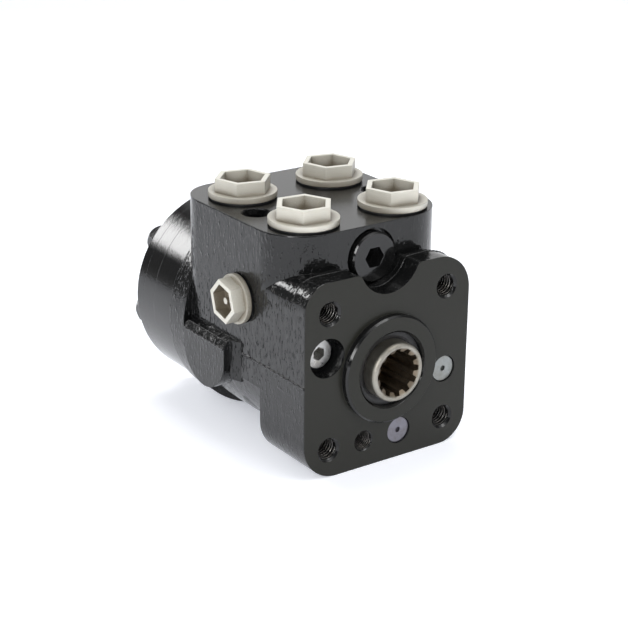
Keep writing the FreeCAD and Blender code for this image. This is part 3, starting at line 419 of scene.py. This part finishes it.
def black_paint(name, cast, radius=0.0005, rough=(0.07, 0.13)):
    """Gloss black paint; cast is how strongly the rough casting shows through it."""
    material, nodes, links, shader = new_material(name)
    point = object_point(nodes)
    grain = noise(nodes, links, point, 900, 5, 0.65)
    cloud = noise(nodes, links, point, 60, 3, 0.5)
    colour = mix_colour(nodes, links, cloud, (0.004, 0.0041, 0.0044, 1), (0.007, 0.0071, 0.007, 1))
    links.new(colour, shader.inputs["Base Color"])
    links.new(remap(nodes, links, grain, 0.3, 0.7, *rough), shader.inputs["Roughness"])
    rounded = soft_edges(nodes, links, radius)
    peel = noise(nodes, links, point, 420, 2, 0.5)
    normal = bump(nodes, links, peel, 0.00006, 0.5, rounded)
    edge = edge_mask(nodes, links, rounded)
    chips = maths(nodes, links, "MULTIPLY", noise(nodes, links, point, 1500, 3, 0.6), edge)
    normal = bump(nodes, links, chips, 0.0006, 0.8, normal)
    if cast > 0:
        sand = noise(nodes, links, point, 1100, 6, 0.7)
        normal = bump(nodes, links, sand, 0.00025, cast, normal)
    links.new(normal, shader.inputs["Normal"])
    return material


def housing_paint():
    """Paint of the housing: rough where it is cast, smooth where it was machined."""
    material, nodes, links, shader = new_material("housing_paint")
    point = object_point(nodes)
    x, y, z = parts_of(nodes, links, point)
    facing = parts_of(nodes, links, nodes.new("ShaderNodeNewGeometry").outputs["Normal"])[1]
    before = remap(nodes, links, y, mm(0.2), mm(0.6), 1, 0)
    front = maths(nodes, links, "MULTIPLY", before, remap(nodes, links, facing, -0.95, -0.85, 1, 0))
    top = remap(nodes, links, z, mm(port_face_z - 0.6), mm(port_face_z - 0.2), 0, 1)
    machined = maths(nodes, links, "MAXIMUM", before, top)
    cast = maths(nodes, links, "SUBTRACT", 1.0, machined)

    cloud = noise(nodes, links, point, 45, 4, 0.6)
    grain = noise(nodes, links, point, 1300, 5, 0.7)
    dark = mix_colour(nodes, links, cloud, (0.004, 0.0042, 0.0045, 1), (0.008, 0.0082, 0.0082, 1))
    colour = mix_colour(nodes, links, front, dark, (0.0165, 0.0165, 0.013, 1))
    # Painted shade: the two top holes and their mouths get a near-black colour and a dimmed
    # reflection.
    hole = hole_shade_mask(nodes, links, x, y)
    colour = mix_colour(nodes, links, hole, colour, (0.002, 0.002, 0.002, 1))
    links.new(colour, shader.inputs["Base Color"])
    gloss = remap(nodes, links, front, 0, 1, 0.42, 0.26)
    gloss = maths(nodes, links, "MULTIPLY", gloss, remap(nodes, links, hole, 0, 1, 1.0, 0.1))
    links.new(gloss, shader.inputs["Specular IOR Level"])
    sheen = remap(nodes, links, grain, 0.3, 0.7, 0.07, 0.15)
    satin = maths(nodes, links, "MULTIPLY", front, 0.25)
    satin = maths(nodes, links, "ADD", satin, maths(nodes, links, "MULTIPLY", top, 0.1))
    links.new(maths(nodes, links, "ADD", sheen, satin), shader.inputs["Roughness"])

    rounded = soft_edges(nodes, links, 0.0003)
    normal = cast_surface(nodes, links, point, x, y, cast, rounded)
    edge = edge_mask(nodes, links, rounded)
    chips = maths(nodes, links, "MULTIPLY", noise(nodes, links, point, 1400, 3, 0.6), edge)
    normal = bump(nodes, links, chips, 0.0008, 0.9, normal)
    peel = noise(nodes, links, point, 350, 2, 0.5)
    normal = bump(nodes, links, peel, 0.00004, 0.4, normal)
    links.new(normal, shader.inputs["Normal"])
    return material


def cast_surface(nodes, links, point, x, y, cast, rounded):
    """Normal of the sand-cast skin: low lumps and upright wrinkles, and calmer on the front wall."""
    past_corner = remap(nodes, links, x, mm(-30), mm(-20), 0, 1)
    wall = remap(nodes, links, y, mm(18), mm(22), 1, 0)
    calm = maths(nodes, links, "MULTIPLY", past_corner, wall)
    amount = maths(nodes, links, "MULTIPLY", cast, remap(nodes, links, calm, 0, 1, 1, 0.3))
    lumps = noise(nodes, links, point, 300, 3, 0.5, (1.0, 1.0, 0.7))
    lumps = maths(nodes, links, "MULTIPLY", lumps, amount)
    normal = bump(nodes, links, lumps, 0.0005, 0.4, rounded)
    wrinkles = noise(nodes, links, point, 850, 2, 0.5, (1.0, 1.0, 0.35))
    wrinkles = remap(nodes, links, wrinkles, 0.57, 0.72, 0, 1)
    wrinkles = maths(nodes, links, "MULTIPLY", wrinkles, amount)
    return bump(nodes, links, wrinkles, 0.00032, 0.7, normal)


def hole_shade_mask(nodes, links, x, y):
    """1 in and round the two tapped holes of the top face, where painted shade darkens them."""
    across = maths(nodes, links, "SUBTRACT", maths(nodes, links, "ABSOLUTE", x), mm(top_hole[0]))
    along = maths(nodes, links, "SUBTRACT", y, mm(top_hole[1]))
    return near_axis(nodes, links, across, along, mm(top_hole_mouth_radius))


def bright_steel(name, colour, rough_low, rough_high, radius=0.0002, ring=False):
    """Turned or ground steel, with fine tool marks and a little staining."""
    material, nodes, links, shader = new_material(name)
    point = object_point(nodes)
    stain = remap(nodes, links, noise(nodes, links, point, 120, 5, 0.7), 0.45, 0.75, 0, 1)
    brown = (colour[0] * 0.72, colour[1] * 0.66, colour[2] * 0.58, 1)
    links.new(mix_colour(nodes, links, stain, (*colour, 1), brown), shader.inputs["Base Color"])
    shader.inputs["Metallic"].default_value = 1.0
    marks = noise(nodes, links, point, 700, 3, 0.5, (1.0, 14.0 if ring else 1.0, 1.0))
    roughness = remap(nodes, links, marks, 0.3, 0.7, rough_low, rough_high)
    links.new(roughness, shader.inputs["Roughness"])
    normal = bump(nodes, links, marks, 0.00002, 0.5, soft_edges(nodes, links, radius))
    links.new(normal, shader.inputs["Normal"])
    return material


def hub_steel():
    """Steel of the spool: turned outside, and brown and greasy in the splined socket."""
    material, nodes, links, shader = new_material("hub_steel")
    point = object_point(nodes)
    x, y, z = parts_of(nodes, links, point)
    inner = near_axis(nodes, links, x, z, mm(spline_major_radius + 0.2))
    deep = remap(nodes, links, y, mm(hub_face_y - 0.1), mm(hub_face_y + 0.5), 0.0, 1.0)
    socket = maths(nodes, links, "MULTIPLY", inner, deep)
    stain = remap(nodes, links, noise(nodes, links, point, 150, 5, 0.7), 0.45, 0.75, 0, 1)
    steel = mix_colour(nodes, links, stain, (0.36, 0.345, 0.305, 1), (0.23, 0.205, 0.165, 1))
    grease = mix_colour(nodes, links, stain, (0.22, 0.18, 0.135, 1), (0.12, 0.095, 0.065, 1))
    links.new(mix_colour(nodes, links, socket, steel, grease), shader.inputs["Base Color"])
    shader.inputs["Metallic"].default_value = 1.0
    marks = noise(nodes, links, point, 500, 3, 0.5, (1.0, 12.0, 1.0))
    links.new(remap(nodes, links, marks, 0.3, 0.7, 0.36, 0.50), shader.inputs["Roughness"])
    rounding = remap(nodes, links, inner, 0, 1, 0.0017, 0.0002)
    normal = bump(nodes, links, marks, 0.00002, 0.5, soft_edges(nodes, links, rounding))
    links.new(normal, shader.inputs["Normal"])
    return material


def cap_plastic():
    """Warm off-white moulded plastic, with painted brown shade in its hollows."""
    material, nodes, links, shader = new_material("cap_plastic")
    point = object_point(nodes)
    cloud = noise(nodes, links, point, 90, 3, 0.5)
    plastic_colour = mix_colour(nodes, links, cloud, (0.61, 0.595, 0.53, 1), (0.70, 0.685, 0.62, 1))
    # Painted shade: ambient occlusion darkens the pockets, the foot of the hex and other hollows
    # towards brown.
    unshaded_face = occlusion_shade(nodes, links, 0.014, 0.5, 0.92)
    painted_shade_colour = mix_colour(nodes, links, cloud, (0.10, 0.08, 0.055, 1), (0.22, 0.19, 0.14, 1))
    links.new(mix_colour(nodes, links, unshaded_face, painted_shade_colour, plastic_colour), shader.inputs["Base Color"])
    grain = noise(nodes, links, point, 1500, 3, 0.5)
    links.new(remap(nodes, links, grain, 0.3, 0.7, 0.34, 0.46), shader.inputs["Roughness"])
    shader.inputs["Subsurface Weight"].default_value = 0.08
    shader.inputs["Subsurface Radius"].default_value = (0.0012, 0.001, 0.0008)
    normal = bump(nodes, links, grain, 0.00002, 0.4, soft_edges(nodes, links, 0.0006))
    links.new(normal, shader.inputs["Normal"])
    return material


def plain(name, colour, roughness, metallic=0.0):
    """Material for the small and hidden pieces, with a fine grain."""
    material, nodes, links, shader = new_material(name)
    point = object_point(nodes)
    grain = noise(nodes, links, point, 800, 4, 0.6)
    darker = tuple(value * 0.8 for value in colour)
    tone = mix_colour(nodes, links, grain, (*darker, 1), (*colour, 1))
    links.new(tone, shader.inputs["Base Color"])
    sheen = remap(nodes, links, grain, 0.3, 0.7, roughness * 0.85, roughness * 1.15)
    links.new(sheen, shader.inputs["Roughness"])
    shader.inputs["Metallic"].default_value = metallic
    normal = bump(nodes, links, grain, 0.00002, 0.4, soft_edges(nodes, links, 0.0002))
    links.new(normal, shader.inputs["Normal"])
    return material


def dress(names, material):
    """Gives CAD nodes one material."""
    for name in names:
        node = frame["nodes"][name]
        node.data.materials.clear()
        node.data.materials.append(material)


def dress_all():
    """Gives every CAD node its material: the painted ones by name, the rest by material slot."""
    dress(["housing"], housing_paint())
    stack = ["distributor_plate", "gear_ring", "end_cover"]
    dress(stack, black_paint("stack_paint", 0.12, 0.0003, (0.05, 0.1)))
    fasteners = ["cover_bolts", "pin_bolt", "bolt_washers", "check_plug"]
    dress(fasteners, black_paint("bolt_paint", 0.0, 0.0003))
    by_slot = {
        "machined_steel": bright_steel("machined_steel", (0.62, 0.60, 0.57), 0.16, 0.3, ring=True),
        "plated_steel": bright_steel("plated_steel", (0.48, 0.48, 0.47), 0.25, 0.4),
        "spring_steel": plain("spring_steel", (0.35, 0.35, 0.36), 0.35, 1.0),
        "seal_rubber": plain("seal_rubber", (0.016, 0.016, 0.017), 0.5),
        "cap_plastic": cap_plastic(),
        "cage_brass": plain("cage_brass", (0.7, 0.5, 0.25), 0.35, 1.0),
        "seal_copper": plain("seal_copper", (0.55, 0.33, 0.2), 0.4, 1.0),
    }
    for part in frame["record"]["subparts"]:
        if part["material_slot"] in by_slot:
            dress([part["node"]], by_slot[part["material_slot"]])
    dress(["shock_plug_right"], bright_steel("disc_steel", (0.28, 0.295, 0.29), 0.34, 0.48))
    dress(["shock_plug_bottom"], bright_steel("violet_steel", (0.225, 0.22, 0.25), 0.34, 0.48))
    dress(["spool"], hub_steel())


# Small detail

def add_piece(name, points, faces, material):
    """Mesh piece in the given material that rides on the housing's body; the points are in
    millimetres.
    """
    mesh = bpy.data.meshes.new(name)
    mesh.from_pydata([mm(*point) for point in points], [], faces)
    for polygon in mesh.polygons:
        polygon.use_smooth = True
    mesh.materials.append(material)
    piece = bpy.data.objects.new(name, mesh)
    scene.collection.objects.link(piece)
    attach(piece, "unit")


def thread_ridge(name, place, inward, core_radius, depth, pitch, material):
    """Helical ridge of a female thread, standing a little into the core hole."""
    steps = 28
    turns = depth / pitch - 1.5
    height = 0.3 * pitch
    foot = core_radius + 0.02
    inward = Vector(inward)
    side = Vector((1, 0, 0))
    other = inward.cross(side)
    points = []
    faces = []
    count = int(turns * steps)
    for k in range(count + 1):
        angle = 2 * math.pi * k / steps
        along = pitch * k / steps + pitch
        out = side * math.cos(angle) + other * math.sin(angle)
        fade = min(1.0, k / steps, (count - k) / steps + 0.02)
        for offset, radius in ((-0.42, foot), (0, core_radius - height * fade), (0.42, foot)):
            points.append(Vector(place) + inward * (along + offset * pitch) + out * radius)
        if k:
            base = 3 * k
            faces.append((base - 3, base - 2, base + 1, base))
            faces.append((base - 2, base - 1, base + 2, base + 1))
            faces.append((base - 1, base - 3, base, base + 2))
    faces.append((0, 2, 1))
    faces.append((3 * count, 3 * count + 1, 3 * count + 2))
    add_piece(name, points, faces, material)


def make_threads():
    """Thread turns of the column holes, the front hole and the two top holes."""
    material = bright_steel("thread_metal", (0.17, 0.165, 0.16), 0.22, 0.4, 0.0001)
    sides = {"left": -1, "right": 1}
    heights = {"low": -1, "high": 1}
    for side, x_sign in sides.items():
        for height, z_sign in heights.items():
            mouth = (x_sign * column_hole_offset, 0.4, z_sign * column_hole_offset)
            thread_ridge("thread_column_" + side + "_" + height, mouth, (0, 1, 0), m10_core_radius,
                         column_hole_depth - 1, m10_pitch, material)
    thread_ridge("thread_front", (front_hole[0], 0, front_hole[1]), (0, 1, 0), front_hole_core_radius,
                 front_hole_depth - 1, front_hole_pitch, material)
    for side, x_sign in sides.items():
        mouth = (x_sign * top_hole[0], top_hole[1], port_face_z - 1.6)
        thread_ridge("thread_top_" + side, mouth, (0, 0, -1), m10_core_radius,
                     top_hole_depth - 2.4, m10_pitch, material)


def ridge_along(name, stations, across, width, height, material):
    """Low rounded ridge; a station is a point on the wall with the wall's outward direction."""
    across = Vector(across)
    profile = [(-0.5, -0.15), (-0.28, 0.55), (0, 1.0), (0.28, 0.55), (0.5, -0.15)]
    points = []
    faces = []
    for k, (place, out) in enumerate(stations):
        uneven = 1 + 0.35 * math.sin(k * 2.3) + 0.2 * math.sin(k * 5.9)
        for offset, lift in profile:
            rise = Vector(out) * lift * height * uneven
            points.append(Vector(place) + across * offset * width + rise)
    count = len(profile)
    for k in range(len(stations) - 1):
        for j in range(count):
            first = k * count + j
            second = k * count + (j + 1) % count
            faces.append((first, second, second + count, first + count))
    faces.append(tuple(range(count)))
    faces.append(tuple(range(len(points) - 1, len(points) - 1 - count, -1)))
    add_piece(name, points, faces, material)


def side_flash(side):
    """Stations of the mould's flash line along one side, from the flange's face to the lug."""
    stations = []
    start_y = 0.4
    for k in range(round(side_flash_length / flash_step) + 1):
        y = start_y + flash_step * k
        wobble = 0.14 * math.sin(k * 0.9) + 0.08 * math.sin(k * 2.7)
        stations.append(((side * half_width, y, wobble), (side, 0, 0)))
    return stations


def lug_flash(side):
    """Stations of the flash line along the upper edge of the lug's flat face."""
    stations = []
    start_y = lug_front_y + 0.6
    for k in range(round(lug_flash_length / flash_step) + 1):
        y = start_y + flash_step * k
        z = lug_face_top_z - 0.5 + 0.1 * math.sin(k * 1.1) + 0.06 * math.sin(k * 3.1)
        stations.append(((side * (half_width + lug_height), y, z), (side, 0, 0)))
    return stations


def arc_stations(middle, radius, start, end, inward=False):
    """Stations round an arc in the flange's plane; angles in degrees from +X towards +Z."""
    steps = max(4, int(abs(end - start) * radius / 40))
    stations = []
    for k in range(steps + 1):
        angle = math.radians(start + (end - start) * k / steps)
        out = Vector((math.cos(angle), 0, math.sin(angle)))
        place = Vector((middle[0], lip_depth, middle[1])) + out * radius
        stations.append((place, -out if inward else out))
    return stations


def flange_top_flash():
    """Stations of the flash line over the flange's top edge and through its scallop."""
    fillet_z = flange_top - scallop_lead_radius
    reach = scallop_radius + scallop_lead_radius
    fillet_x = math.sqrt(reach ** 2 - (scallop_z - fillet_z) ** 2)
    lead = math.degrees(math.asin((scallop_z - fillet_z) / reach))
    left = (flange_radius_left - half_width, flange_top - flange_radius_left)
    right = (half_width - flange_radius_right, flange_top - flange_radius_right)
    stations = arc_stations(left, flange_radius_left, 165, 90)
    stations += arc_stations((-fillet_x, fillet_z), scallop_lead_radius, 90, lead)
    stations += arc_stations((0, scallop_z), scallop_radius, 180 + lead, 360 - lead, inward=True)
    stations += arc_stations((fillet_x, fillet_z), scallop_lead_radius, 180 - lead, 90)
    return stations + arc_stations(right, flange_radius_right, 90, 15)


def make_parting_lines():
    """Flash lines of the casting mould, low and slightly uneven."""
    material = black_paint("flash_paint", 0.5, 0.0001)
    for side in (-1, 1):
        name = "left" if side < 0 else "right"
        ridge_along("flash_side_" + name, side_flash(side), (0, 0, 1), 1.6, 0.4, material)
        ridge_along("flash_lug_" + name, lug_flash(side), (0, 0, 1), 1.1, 0.3, material)
    ridge_along("flash_flange_top", flange_top_flash(), (0, 1, 0), 0.9, 0.4, material)


make_camera()
make_floor()
make_world()
make_lamps()
dress_all()
make_threads()
make_parting_lines()

scene.view_settings.view_transform = "Standard"
